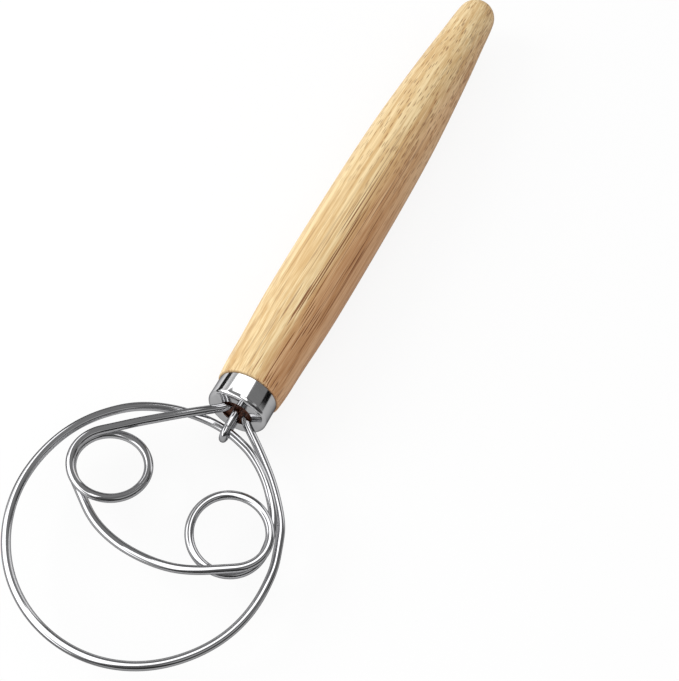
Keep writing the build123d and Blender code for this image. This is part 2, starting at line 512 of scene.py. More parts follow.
@dataclass(frozen=True)
class Noise:
    """A noise pattern: how many cells a unit of place holds, its shift, detail and roughness."""

    scale: Triple
    shift: Triple = (0, 0, 0)
    detail: float = 2.0
    roughness: float = 0.5

    def over(self, tree: Shading, place: Signal) -> Signal:
        """Lays the pattern over coordinates."""
        return tree.signal("ShaderNodeTexNoise", "Fac", {"noise_dimensions": "3D"}, {
            "Vector": tree.stretched(place, self.scale, self.shift), "Scale": 1.0,
            "Detail": self.detail, "Roughness": self.roughness})

    def swing(self, tree: Shading, place: Signal, reach: float) -> Signal:
        """Swings both ways from nought: (noise - 1 / 2) reach."""
        return (self.over(tree, place) - 0.5) * reach


@dataclass(frozen=True)
class Vessels:
    """One set of a wood's vessels: the long cells they lie in, their size, depth of colour and place.

    A vessel is full up to the first share of its size in edge, and gone at the second. A cell's
    random number gives its vessel's strength, which is 0 at the first number in picked, 1 at the second.
    """

    cell: Triple
    size: float
    depth: float
    shift: Triple
    edge: Pair = (0.8, 1.6)
    picked: Pair = (0.15, 0.55)

    def over(self, tree: Shading, grain: Signal) -> Signal:
        """Lays the vessels over coordinates, each with its own depth of colour.

        Args:
            tree: The material's tree.
            grain: Coordinates along the grain, in millimetres.

        Returns:
            The set's depth inside a vessel, and 0 outside it.
        """
        vector = tree.stretched(grain, tuple(1 / width for width in self.cell), self.shift)
        node = tree.make("ShaderNodeTexVoronoi", {"voronoi_dimensions": "3D", "feature": "F1"},
                         {"Vector": vector, "Scale": 1.0, "Randomness": 1.0})
        pick = tree.signal("ShaderNodeSeparateColor", inputs={0: node.outputs["Color"]})
        full, nothing = (self.size * share for share in self.edge)
        inside = Signal(tree, node.outputs["Distance"]).fit(full, nothing, 1.0, 0.0)
        return inside * pick.fit(*self.picked) * self.depth


@dataclass(frozen=True)
class Hardwood:
    """Straw-coloured hardwood with a redder side, partly its own colour and partly painted shade, and brown
    vessels that run along the grain.

    Pairs named strength hold what counts far from the ferrule and near it, pairs named spread what
    counts off the middle of the figure and in it, and pairs named edge where a step is 0 and 1.
    """

    straw: Numbers = colour(200, 164, 112)
    light: Numbers = colour(229, 206, 160)
    # The tan and deep tan colours are partly the wood's own redder colour and partly painted shade on the
    # side turned from the lamp
    tan: Numbers = colour(213, 169, 127)
    deep_tan_and_shade: Numbers = colour(185, 134, 88)
    line: Numbers = colour(118, 66, 28)
    vessel: Numbers = colour(116, 64, 24)
    # The tenon's end inside the mouth: the end grain's own darker colour with painted shade of the recess in
    # the ferrule
    end_grain_and_shade: Numbers = colour(92, 54, 38)
    grain_tilt: float = 0.8
    slow: Noise = Noise((1 / 90, 1 / 40, 1 / 40), (5, 0, 2), detail=0.0)
    streaky: Noise = Noise((1 / 120, 1, 1), (1, 6, 4))
    fibre: Noise = Noise((1 / 40, 1 / 0.62, 1 / 0.62), roughness=0.7)
    band: Noise = Noise((1 / 120, 1 / 3.0, 1 / 3.0), (3, 1, 7), detail=1.0)
    lined: Noise = Noise((1 / 60, 1 / 0.62, 1 / 1.30), (8, 4, 1), detail=1.0)
    flecks: Vessels = Vessels((7.0, 0.66, 0.66), 0.25, 0.66, (4, 9, 3))
    dashes: Vessels = Vessels((42.0, 0.85, 1.90), 0.17, 0.85, (7, 2, 5))
    ferrule_edge: Pair = (-150, -70)
    tan_and_shade_side: float = 2.9
    slow_wander: float = 8.0
    streaky_wander: float = 7.0
    tan_and_shade_edge: Pair = (-4.2, 5.0)
    tan_and_shade_strength: Pair = (0.72, 1.0)
    band_share: float = 0.5
    fibre_share: float = 0.7
    tone_edge: Pair = (0.48, 0.72)
    middle_edge: Pair = (-9.0, -2.0)
    middle_far_edge: Pair = (5.0, 9.0)
    line_edge: Pair = (0.59, 0.64)
    line_strength: Pair = (0.4, 0.9)
    line_spread: Pair = (0.25, 1.0)
    dash_strength: Pair = (0.4, 1.0)
    dash_spread: Pair = (0.3, 1.0)
    fleck_strength: Pair = (1.0, 0.2)
    end_grain_and_shade_edge: Pair = (-9.6, -8.4)
    fibre_edge: Pair = (0.2, 0.8)
    roughness: Pair = (0.46, 0.58)
    vessel_roughness: float = 0.15
    fibre_relief: float = 0.3
    line_relief: float = 0.5
    bump_strength: float = 0.35
    bump_distance: float = 0.00012
    specular: float = 0.3

    def material(self) -> Material:
        """Builds the wood from two tones, fibre, long lines and two sets of vessels.

        The coordinates lie along the grain in millimetres, measured from the ferrule's mouth. The
        tan tone takes the side where the place across, plus a slow and a streaky noise, passes a
        fixed plane. This is the side turned from the lamp, and its tone is partly the wood's redder
        colour and partly painted shade. Lines gather near that plane and the ferrule, flecks towards the free
        end.

        Returns:
            The material.
        """
        material, tree = new_material("hardwood")
        place = tree.signal("ShaderNodeTexCoord", "Object")
        mouth = tuple(number * METRES for number in MOUTH)
        centred = tree.signal("ShaderNodeVectorMath", 0, {"operation": "SUBTRACT"}, {0: place, 1: mouth})
        grain = tree.stretched(centred, (1 / METRES,) * 3, turn=(0, 0, math.radians(self.grain_tilt)))
        along, across, _ = tree.axes(grain)
        fibre = self.fibre.over(tree, grain)
        side = (across - self.tan_and_shade_side + self.slow.swing(tree, grain, self.slow_wander)
                + self.streaky.swing(tree, grain, self.streaky_wander))
        near_ferrule = along.fit(*self.ferrule_edge)
        middle = side.fit(*self.middle_edge) * (1 - side.fit(*self.middle_far_edge))

        tone = self.band.over(tree, grain) * self.band_share + fibre * self.fibre_share
        toned = tone.fit(*self.tone_edge, smooth=False)
        pale, dark = tree.blend(toned, self.straw, self.light), tree.blend(toned, self.deep_tan_and_shade, self.tan)
        # The tan side, turned from the lamp: partly the wood's redder colour, partly painted shade
        base = tree.blend(side.fit(*self.tan_and_shade_edge) * near_ferrule.between(*self.tan_and_shade_strength), pale, dark)
        lines = (self.lined.over(tree, grain).fit(*self.line_edge)
                 * near_ferrule.between(*self.line_strength) * middle.between(*self.line_spread))
        dashes = (self.dashes.over(tree, grain)
                  * near_ferrule.between(*self.dash_strength) * middle.between(*self.dash_spread))
        flecks = self.flecks.over(tree, grain) * near_ferrule.between(*self.fleck_strength)
        vessels = dashes.larger(flecks)
        base = tree.blend(vessels, tree.blend(lines, base, self.line), self.vessel)
        # Paints the tenon's end darker: its end grain's colour with painted shade of the recess in the
        # ferrule
        base = tree.blend(along.fit(*self.end_grain_and_shade_edge, smooth=False), base, self.end_grain_and_shade)

        height = fibre * self.fibre_relief - vessels - lines * self.line_relief
        tree.show(tree.make("ShaderNodeBsdfPrincipled", inputs={
            "Base Color": base,
            "Roughness": fibre.fit(*self.fibre_edge, *self.roughness) + vessels * self.vessel_roughness,
            "Normal": tree.bump(height, self.bump_strength, self.bump_distance),
            "Specular IOR Level": self.specular}))
        return material


class SteelKind(Enum):
    """The two polished steels: drawn wire and pressed sheet."""

    WIRE = "wire_steel"
    SHEET = "ferrule_steel"


@dataclass(frozen=True)
class PolishedSteel:
    """Polished stainless steel, with the faint lines that drawing or turning leaves.

    Pairs named edge hold where a step is 0 and 1, and smudge_gloss the shares of the gloss there.
    """

    kind: SteelKind
    tint: Numbers = colour(232, 232, 233)
    edge_tint: Numbers = colour(120, 120, 122)
    gloss: float = 0.09
    drawn_lines: Noise = Noise((4.5, 4.5, 1 / 18))
    drawn_smudge: Noise = Noise((0.5, 0.5, 1 / 9))
    turned_lines: Noise = Noise((5200, 60, 60))
    turned_smudge: Noise = Noise((260, 260, 260))
    smudge_edge: Pair = (0.3, 0.7)
    smudge_gloss: Pair = (0.8, 1.35)
    line_edge: Pair = (0.4, 0.8)
    line_roughness: float = 0.03
    tint_edge: Pair = (0.35, 0.75)
    tint_share: float = 0.5
    smudge_level: float = 0.85
    bump_strength: float = 0.12
    bump_distance: float = 0.00002

    def material(self) -> Material:
        """Builds the steel.

        On the wire the lines run along it: noise on the laid-out place, long along the wire and
        fine round it. On the sheet they run round it: noise that is finest along the tool.

        Returns:
            The material.
        """
        material, tree = new_material(self.kind.value)
        if self.kind is SteelKind.WIRE:
            place = tree.signal("ShaderNodeAttribute", "Vector", {"attribute_name": LAID_OUT})
            lines, smudge = self.drawn_lines.over(tree, place), self.drawn_smudge.over(tree, place)
        else:
            place = tree.signal("ShaderNodeTexCoord", "Object")
            lines, smudge = self.turned_lines.over(tree, place), self.turned_smudge.over(tree, place)
        gloss = [self.gloss * share for share in self.smudge_gloss]
        smudged = (*(self.smudge_level * channel for channel in self.tint[:3]), 1.0)
        tree.show(tree.make("ShaderNodeBsdfPrincipled", inputs={
            "Base Color": tree.blend(smudge.fit(*self.tint_edge) * self.tint_share, self.tint, smudged),
            "Specular Tint": self.edge_tint,
            "Metallic": 1.0,
            "Roughness": (smudge.fit(*self.smudge_edge, *gloss)
                          + lines.fit(*self.line_edge) * self.line_roughness),
            "Normal": tree.bump(lines, self.bump_strength, self.bump_distance)}))
        return material


# The parts


@dataclass
class Ferrule:
    """The drawn steel cap, whose front is closed but for the round mouth."""

    radius: float = 11.0
    length: float = 9.1
    wall: float = 0.6
    mouth_radius: float = 6.01
    front_round: float = 1.5
    rear_round: float = 0.22
    lip_round: float = 0.15
    round_steps: int = 10
    sides: int = 192

    @property
    def bore_radius(self) -> float:
        """The radius inside the wall."""
        return self.radius - self.wall

    def outline(self) -> Array:
        """Gives the wall's closed outline, with every corner rounded."""
        return rounded_corners([
            (0.0, self.mouth_radius, self.lip_round),
            (0.0, self.radius, self.front_round),
            (self.length, self.radius, self.rear_round),
            (self.length, self.bore_radius, self.lip_round),
            (self.wall, self.bore_radius, self.front_round - self.wall),
            (self.wall, self.mouth_radius, self.lip_round),
        ], steps=self.round_steps, looped=True)

    def build(self, finish: Material) -> Object:
        """Turns the closed outline about the axis and dresses it.

        Args:
            finish: The steel.

        Returns:
            The ferrule.
        """
        outline = self.outline()
        places = turned_points(outline, self.sides)
        piece = mesh_piece("steel_ferrule", places, ring_quads(len(outline), self.sides, looped=True))
        piece.data.set_sharp_from_angle(angle=SHARP_ANGLE)
        piece.data.materials.append(finish)
        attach(piece, BODY)
        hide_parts("ferrule")
        return piece


@dataclass
class Stations:
    """The wire's stations. Places are shares of the ring's length and width and of one layer's height.

    A row of shares ends with the heading there in degrees, which goes on turning past the full circle.
    """

    ring_length: float = 96.0
    ring_width: float = 83.5
    layer: float = 3.45
    tenon_end: float = 1.4
    end_depth: float = 62.0
    first_hole: Pair = (3.5, -0.1)
    first_bend: Pair = (1.75, 1.95)
    last_hole: Pair = (-3.3, 1.7)
    last_bend: Pair = (1.3, -1.3)
    first_bend_heading: float = 56
    last_bend_heading: float = -1305
    last_hole_heading: float = -1260
    ring_shares: tuple[Numbers, ...] = (
        (0.1198, 0.2228, -0.52, 50), (0.2469, 0.3581, -0.74, 36.5), (0.3958, 0.4275, -0.74, 15.5),
        (0.5208, 0.4420, -0.42, 0), (0.7177, 0.3964, -0.06, -23.4), (0.8906, 0.2510, 0.00, -48),
        (1.0000, -0.0719, 0.00, -90), (0.8563, -0.4323, 0.00, -139.5), (0.5573, -0.5580, 0.00, -180),
        (0.2667, -0.4575, -0.03, -215), (0.1521, -0.3317, -0.16, -235),
        (0.0885, -0.1796, -0.32, -254), (0.0719, -0.0599, -0.30, -268),
    )
    hook_crossing_shares: Numbers = (0.0750, 0.0054, -0.18, -278)
    return_shares: tuple[Numbers, ...] = (
        (0.0948, 0.0910, 0.04, -289), (0.1281, 0.1653, 0.30, -302),
        (0.2094, 0.2743, 0.40, -319), (0.2760, 0.3341, 0.24, -329),
    )
    right_eye_shares: Pair = (0.4146, 0.2204)
    right_eye_size: Pair = (26.2, 25.8)
    right_eye_heights: Numbers = (-0.14, -0.06, 0.25, 0.74, 1.11)
    right_eye_heading: float = -360
    smile_shares: tuple[Numbers, ...] = (
        (0.5208, 0.3042, 1.05, -777), (0.6010, 0.1509, 0.72, -785),
        (0.6344, -0.0719, 0.15, -812.5), (0.5646, -0.3054, -0.52, -847.5),
        (0.4104, -0.4557, -0.63, -900),
    )
    left_eye_shares: Pair = (0.4073, -0.3126)
    left_eye_size: Pair = (25.4, 23.6)
    left_eye_heights: Numbers = (-0.50, -0.13, 0.26, 0.51, 0.64)
    left_eye_heading: float = -900
    left_eye_turn: float = -45
    last_run_shares: tuple[Numbers, ...] = (
        (0.2008, -0.2764, 0.76, -1306), (0.0979, -0.1533, 0.80, -1306),
    )

    def _scaled(self, *shares: Sequence[float]) -> Array:
        """Turns rows of shares into rows of place and heading."""
        return np.array(shares, dtype=float) * np.array([self.ring_length, self.ring_width, self.layer, 1])

    def _eye(self, centre: Pair, size: Pair, heights: Sequence[float],
             heading: float, turn: float = 0) -> Array:
        """Gives an eye's five stations, a quarter turn apart.

        At the heading h the place is the centre plus (length / 2 cos s, width / 2 sin s), where s is
        a quarter turn more than h. The whole eye is then turned, its headings too.

        Args:
            centre: The eye's centre, as shares of the ring.
            size: Its length and width.
            heights: Each station's height, as a share of the layer.
            heading: The first station's heading.
            turn: How far the whole eye is turned, in degrees.

        Returns:
            The stations' places and headings.
        """
        headings = heading - 90 * np.arange(len(heights))
        side, lean = np.radians(headings + 90), math.radians(turn)
        reach, shift = size[0] / 2 * np.cos(side), size[1] / 2 * np.sin(side)
        along = centre[0] * self.ring_length + reach * math.cos(lean) - shift * math.sin(lean)
        across = centre[1] * self.ring_width + reach * math.sin(lean) + shift * math.cos(lean)
        return np.stack([along, across, np.array(heights) * self.layer, headings + turn], axis=-1)

    @staticmethod
    def _bend(hole: Pair, bend: Pair, heading: float) -> Numbers:
        """Gives the station just past a hole, where the wire has bent."""
        return bend[0], hole[0] + bend[1], hole[1], heading

    def rows(self) -> Array:
        """Gives every station in order, as place along, across and up, and heading in degrees."""
        return np.concatenate([
            [(-self.tenon_end, *self.first_hole, 0),
             self._bend(self.first_hole, self.first_bend, self.first_bend_heading)],
            self._scaled(*self.ring_shares, self.hook_crossing_shares, *self.return_shares),
            self._eye(self.right_eye_shares, self.right_eye_size, self.right_eye_heights,
                      self.right_eye_heading),
            self._scaled(*self.smile_shares),
            self._eye(self.left_eye_shares, self.left_eye_size, self.left_eye_heights,
                      self.left_eye_heading, self.left_eye_turn),
            self._scaled(*self.last_run_shares),
            [self._bend(self.last_hole, self.last_bend, self.last_bend_heading),
             (-self.tenon_end, *self.last_hole, self.last_hole_heading)],
        ])

    def hook_centre(self) -> Array:
        """Gives the place where the hook goes round the ring."""
        return self._scaled(self.hook_crossing_shares)[0, :3]


@dataclass
class WhiskWire:
    """The one unbroken wire: ring, right eye, smile-shaped run, left eye and last run."""

    stations: Stations = field(default_factory=Stations)
    radius: float = 1.5
    sides: int = 28
    step: float = 0.45
    ease: float = 1.0
    bell_reach: float = 3.0
    end_round: float = 0.3
    least_offset: float = 1e-7
    least_curvature: float = 1e-9

    def centre_line(self) -> CentreLine:
        """Works out the centre line.

        Between two stations run two circle arcs that share a tangent at their joint. With the
        chord c and the end tangents t0 and t1, the reach d solves c.c = 2 d c.(t0 + t1) / 2 +
        2 d^2 (1 - t0.t1) / 2, and the joint is the middle of p0 + d t0 and p1 - d t1. A straight
        run is added at both ends, and the whole line is then eased with a bell curve, so its
        curvature has no steps.

        Returns:
            The centre line.
        """
        rows = self.stations.rows()
        places, tangents = rows[:, :3], self._tangents(rows[:, :3], np.radians(rows[:, 3]))
        start, end = places[:-1], places[1:]
        start_tangent, end_tangent = tangents[:-1], tangents[1:]
        chord = end - start
        linear = 2 * (chord * (start_tangent + end_tangent)).sum(axis=1)
        quadratic = 2 * (1 - (start_tangent * end_tangent).sum(axis=1))
        square = (chord * chord).sum(axis=1)
        reach = (2 * square / (linear + np.sqrt(linear ** 2 + 4 * quadratic * square)))[:, None]
        start_reach, end_reach = start + start_tangent * reach, end - end_tangent * reach
        joint = (start_reach + end_reach) / 2
        pairs = [(start, joint), (joint, end), (start_tangent, unit(end_reach - start_reach))]
        origins, ends, headings = (np.stack(pair, axis=1).reshape(-1, 3) for pair in pairs)
        depth = AHEAD[None, :] * self.stations.end_depth
        chain = self._along_arcs(
            np.concatenate([origins[:1] - depth, origins, ends[-1:]]),
            np.concatenate([origins[:1], ends, ends[-1:] - depth]),
            np.concatenate([AHEAD[None, :], headings, -AHEAD[None, :]]))
        return CentreLine.through(self._eased(chain))

    @staticmethod
    def _tangents(places: Array, headings: Array) -> Array:
        """Gives unit tangents: the heading seen from above, with the climb between the neighbours.

        Args:
            places: The stations' places.
            headings: Their headings, in radians.

        Returns:
            The tangents, three numbers a row.
        """
        plan = np.linalg.norm(np.diff(places[:, :2], axis=0), axis=1)
        climb = np.zeros(len(places))
        climb[1:-1] = (places[2:, 2] - places[:-2, 2]) / (plan[:-1] + plan[1:])
        return unit(np.stack([np.cos(headings), np.sin(headings), climb], axis=-1))

    def _along_arcs(self, origins: Array, ends: Array, tangents: Array) -> Array:
        """Places even steps along a chain of arcs.

        On an arc of curvature k the place at the length u is p + t sin(k u) / k +
        n (1 - cos(k u)) / k, with its tangent t and its normal n at its start p.

        Args:
            origins: Where each arc starts.
            ends: Where each arc ends.
            tangents: Each arc's tangent at its start.

        Returns:
            The steps' places.
        """
        chord = ends - origins
        length = np.linalg.norm(chord, axis=1)
        forward = (chord * tangents).sum(axis=1)
        sideways = chord - tangents * forward[:, None]
        offset = np.linalg.norm(sideways, axis=1)
        half = np.arctan2(offset, forward)
        straight = offset < self.least_offset
        curvature = np.where(straight, self.least_curvature, 2 * np.sin(half) / length)
        normal = np.where(straight[:, None], 0.0, sideways / np.maximum(offset, self.least_offset)[:, None])
        arc = np.where(straight, length, 2 * half / curvature)
        bounds = np.concatenate([[0], np.cumsum(arc)])
        spots = even_steps(0, bounds[-1], self.step)
        index = np.clip(np.searchsorted(bounds, spots, side="right") - 1, 0, len(arc) - 1)
        run, bend = (spots - bounds[index])[:, None], curvature[index][:, None]
        return (origins[index] + tangents[index] * np.sin(bend * run) / bend
                + normal[index] * (1 - np.cos(bend * run)) / bend)

    def _eased(self, points: Array) -> Array:
        """Averages each point with its neighbours under a bell curve whose width is the ease.

        Args:
            points: The line's points, which are carried on straight past both ends.

        Returns:
            As many points.
        """
        reach = int(self.bell_reach * self.ease / self.step)
        weights = np.exp(-0.5 * (np.arange(-reach, reach + 1) * self.step / self.ease) ** 2)
        weights /= weights.sum()
        before = 2 * points[0] - points[reach:0:-1]
        after = 2 * points[-1] - points[-2:-reach - 2:-1]
        padded = np.concatenate([before, points, after])
        return np.stack([np.convolve(padded[:, axis], weights, mode="valid") for axis in range(3)], axis=-1)

    def build(self, finish: Material) -> Object:
        """Carries the wire's circle along its centre line and dresses it.

        Args:
            finish: The steel.

        Returns:
            The wire.
        """
        piece = self.centre_line().tube("bent_wire", self.radius, self.sides, UPWARDS, self.end_round)
        piece.data.materials.append(finish)
        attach(piece, BODY)
        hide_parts("whisk_wire")
        return piece


@dataclass
class RetainingHook:
    """The U of thinner wire that ties the ring to the ferrule."""

    stations: Stations = field(default_factory=Stations)
    radius: float = 1.3
    wire_radius: float = 1.5
    clearance: float = 0.15
    depth: float = 20.6
    lean: float = 8.0  # how far the U is turned about its axis, in degrees
    sides: int = 28
    step: float = 0.3
    end_round: float = 0.25

    @property
    def bend_radius(self) -> float:
        """The radius of the U's bend, at its centre line."""
        return self.wire_radius + self.radius + self.clearance

    @property
    def side(self) -> Array:
        """The direction from the U's lower leg to its upper one."""
        lean = math.radians(self.lean)
        return np.array([0, -math.sin(lean), math.cos(lean)])

    def leg_places(self) -> Array:
        """Gives the upper and the lower end of the bend."""
        centre = self.stations.hook_centre()
        return np.stack([centre + self.side * self.bend_radius, centre - self.side * self.bend_radius])

    def centre_line(self) -> CentreLine:
        """Works out the U: in along one leg, half a turn, and back along the other.

        At the length u past the first leg the bend's angle is a = u / R, and the place is the
        centre + R (cos a side + sin a ahead), where ahead is the tool's axis.

        Returns:
            The centre line.
        """
        centre = self.stations.hook_centre()
        leg = centre[0] + self.stations.tenon_end + self.depth
        bend = math.pi * self.bend_radius
        spots = even_steps(0, 2 * leg + bend, self.step)[:, None]
        angle = np.clip((spots - leg) / self.bend_radius, 0, math.pi)
        run_in, run_out = np.minimum(spots - leg, 0), np.minimum(leg + bend - spots, 0)
        return CentreLine.through(
            centre + self.bend_radius * (np.cos(angle) * self.side + np.sin(angle) * AHEAD)
            + (run_in + run_out) * AHEAD)

    def build(self, finish: Material) -> Object:
        """Carries the hook's circle along the U and dresses it.

        Args:
            finish: The steel.

        Returns:
            The hook.
        """
        across = np.cross(AHEAD, self.side)
        piece = self.centre_line().tube("steel_hook", self.radius, self.sides, across, self.end_round)
        piece.data.materials.append(finish)
        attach(piece, BODY)
        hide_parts("retaining_hook")
        return piece


@dataclass
class TurnedHandle:
    """The turned handle, with the drilled tenon that the ferrule hides."""

    length: float = 235.4
    radius: float = 14.25
    shoulder_radius: float = 11.7
    shoulder_round: float = 0.8
    shoulder_slope: float = 0.13
    shoulder_steps: int = 8
    tip_radius: float = 8.6
    tip_taper: float = 7.4
    tip_steps: int = 25
    belly_share: float = 0.451
    front_shares: tuple[Pair, ...] = (
        (0.070, 0.880), (0.144, 0.938), (0.221, 0.974), (0.310, 0.991))
    rear_shares: tuple[Pair, ...] = (
        (0.560, 0.987), (0.650, 0.949), (0.750, 0.871), (0.850, 0.777), (0.940, 0.675))
    seam_gap: float = 0.1
    tenon_clearance: float = 0.05
    tenon_end_gap: float = 0.8
    tenon_chamfer: float = 1.1
    tenon_rim: float = 1.0
    tenon_round: float = 0.1
    seam_round: float = 0.05
    sharp_round: float = 0.0001
    hole_clearance: float = 0.05
    hole_end_gap: float = 0.5
    drill_lead: float = 0.5
    drill_sides: int = 48
    sides: int = 192
    side_step: float = 1.0

    def _spline(self, knots: Sequence[Pair], slopes: Pair) -> Array:
        """Runs a cubic spline with given end slopes through a few points.

        The slopes m solve h1 m0 + 2 (h0 + h1) m1 + h0 m2 = 3 (h1 d0 + h0 d1) at the inner points,
        where h is a step and d its rise over run, and each piece is the cubic with those end slopes.

        Args:
            knots: The points, as distance back and radius.
            slopes: The slope at the first and at the last of them.

        Returns:
            Even steps on the spline, as distance back and radius.
        """
        spots, heights = np.array(knots).T
        at = even_steps(spots[0], spots[-1], self.side_step)
        step = np.diff(spots)
        rise = np.diff(heights) / step
        count = len(spots)
        matrix, right = np.eye(count), np.zeros(count)
        right[[0, -1]] = slopes
        inner = np.arange(1, count - 1)
        matrix[inner, inner - 1] = step[1:]
        matrix[inner, inner] = 2 * (step[:-1] + step[1:])
        matrix[inner, inner + 1] = step[:-1]
        right[inner] = 3 * (step[1:] * rise[:-1] + step[:-1] * rise[1:])
        slope = np.linalg.solve(matrix, right)
        index = np.clip(np.searchsorted(spots, at, side="right") - 1, 0, count - 2)
        width = step[index]
        share = (at - spots[index]) / width
        radii = (heights[index] * (1 + 2 * share) * (1 - share) ** 2
                 + slope[index] * width * share * (1 - share) ** 2
                 + heights[index + 1] * share ** 2 * (3 - 2 * share)
                 + slope[index + 1] * width * share ** 2 * (share - 1))
        return np.stack([at, radii], axis=-1)

    def outline(self, ferrule: Ferrule) -> Array:
        """Gives the outline from the tenon's end to the tip.

        The tenon's corners are rounded, the shoulder's edge is a quarter circle, the sides are two
        splines that meet level at the belly, and the tip is part of a circle.

        Args:
            ferrule: Gives the tenon its length and radius.

        Returns:
            The outline's points, as distance back from the mouth and radius.
        """
        taper = math.radians(self.tip_taper)
        start = ferrule.length + self.seam_gap
        reach = start + self.length
        tip_length = self.tip_radius * (1 - math.sin(taper))
        side_length = self.length - tip_length
        belly = (start + self.belly_share * side_length, self.radius)
        front, rear = ([(start + back * side_length, share * self.radius) for back, share in shares]
                       for shares in (self.front_shares, self.rear_shares))
        shoulder = (start + self.shoulder_round, self.shoulder_radius)
        tip_start = (reach - tip_length, self.tip_radius * math.cos(taper))
        tenon_radius = ferrule.bore_radius - self.tenon_clearance
        tenon_face = tenon_radius - self.tenon_chamfer
        tenon_end = ferrule.wall + self.tenon_end_gap
        tenon = rounded_corners([
            (tenon_end, tenon_face - self.tenon_rim, self.tenon_round),
            (tenon_end, tenon_face, self.tenon_round),
            (tenon_end + self.tenon_chamfer, tenon_radius, self.tenon_round),
            (start, tenon_radius, self.seam_round),
            (start, self.shoulder_radius - self.shoulder_round, self.sharp_round),
        ], steps=2)
        edge_angle = np.linspace(math.pi, math.pi / 2, self.shoulder_steps + 1)[1:-1]
        edge = np.stack([start + self.shoulder_round * (1 + np.cos(edge_angle)),
                         self.shoulder_radius - self.shoulder_round * (1 - np.sin(edge_angle))], axis=-1)
        tip_angle = np.linspace(taper, math.pi / 2, self.tip_steps + 1)[1:-1]
        tip = np.stack([reach - self.tip_radius * (1 - np.sin(tip_angle)),
                        self.tip_radius * np.cos(tip_angle)], axis=-1)
        return np.concatenate([
            tenon, edge,
            self._spline([shoulder, *front, belly], (self.shoulder_slope, 0.0)),
            self._spline([belly, *rear, tip_start], (0.0, -math.tan(taper)))[1:],
            tip,
        ])

    def build(self, finish: Material, ferrule: Ferrule, wire: WhiskWire,
              hook: RetainingHook) -> Object:
        """Turns the outline about the axis, drills the tenon and dresses it.

        Args:
            finish: The wood.
            ferrule: Gives the tenon its length and radius.
            wire: Gives two of the holes.
            hook: Gives the other two.

        Returns:
            The handle.
        """
        outline = self.outline(ferrule)
        tenon_end = ferrule.wall + self.tenon_end_gap
        tip_end = ferrule.length + self.seam_gap + self.length
        poles = np.array([[-tenon_end, 0, 0], [-tip_end, 0, 0]])
        places = np.concatenate([turned_points(outline, self.sides), poles])
        rings, sides = len(outline), self.sides
        piece = mesh_piece("turned_handle", places, ring_quads(rings, sides), end_fans(rings, sides))
        depth = wire.stations.end_depth
        for hole in (wire.stations.first_hole, wire.stations.last_hole):
            self._drill(piece, hole, wire.radius, tenon_end, depth)
        for place in hook.leg_places():
            self._drill(piece, place[1:], hook.radius, tenon_end, hook.depth)
        piece.data.set_sharp_from_angle(angle=SHARP_ANGLE)
        piece.data.materials.clear()
        piece.data.materials.append(finish)
        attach(piece, BODY)
        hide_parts("handle")
        return piece

    def _drill(self, piece: Object, hole: Sequence[float], radius: float, tenon_end: float,
               depth: float) -> None:
        """Cuts a round hole into the tenon's end.

        Args:
            piece: The handle.
            hole: The hole's place across and up.
            radius: The radius of the wire in it.
            tenon_end: How far behind the mouth the tenon ends.
            depth: How deep the wire goes.
        """
        back = np.array([tenon_end - self.drill_lead, tenon_end + depth + self.hole_end_gap])
        profile = np.stack([back, np.full(2, radius + self.hole_clearance)], axis=-1)
        poles = -back[:, None] * AHEAD
        places = np.concatenate([turned_points(profile, self.drill_sides), poles]) + np.array([0, *hole])
        drill = mesh_piece("drill", places, ring_quads(2, self.drill_sides), end_fans(2, self.drill_sides))
        cut = piece.modifiers.new("hole", "BOOLEAN")
        cut.operation, cut.solver, cut.object = "DIFFERENCE", "EXACT", drill
        graph = bpy.context.evaluated_depsgraph_get()
        cut_mesh = bpy.data.meshes.new_from_object(piece.evaluated_get(graph))
        piece.modifiers.clear()
        whole, piece.data = piece.data, cut_mesh
        bpy.data.meshes.remove(whole)
        bpy.data.objects.remove(drill)


# The studio


@dataclass(frozen=True)
class Card:
    """A flat grey card above the head: its name, how bright it shows, and its corners along and across."""

    name: str
    level: float
    corners: tuple[Pair, ...]


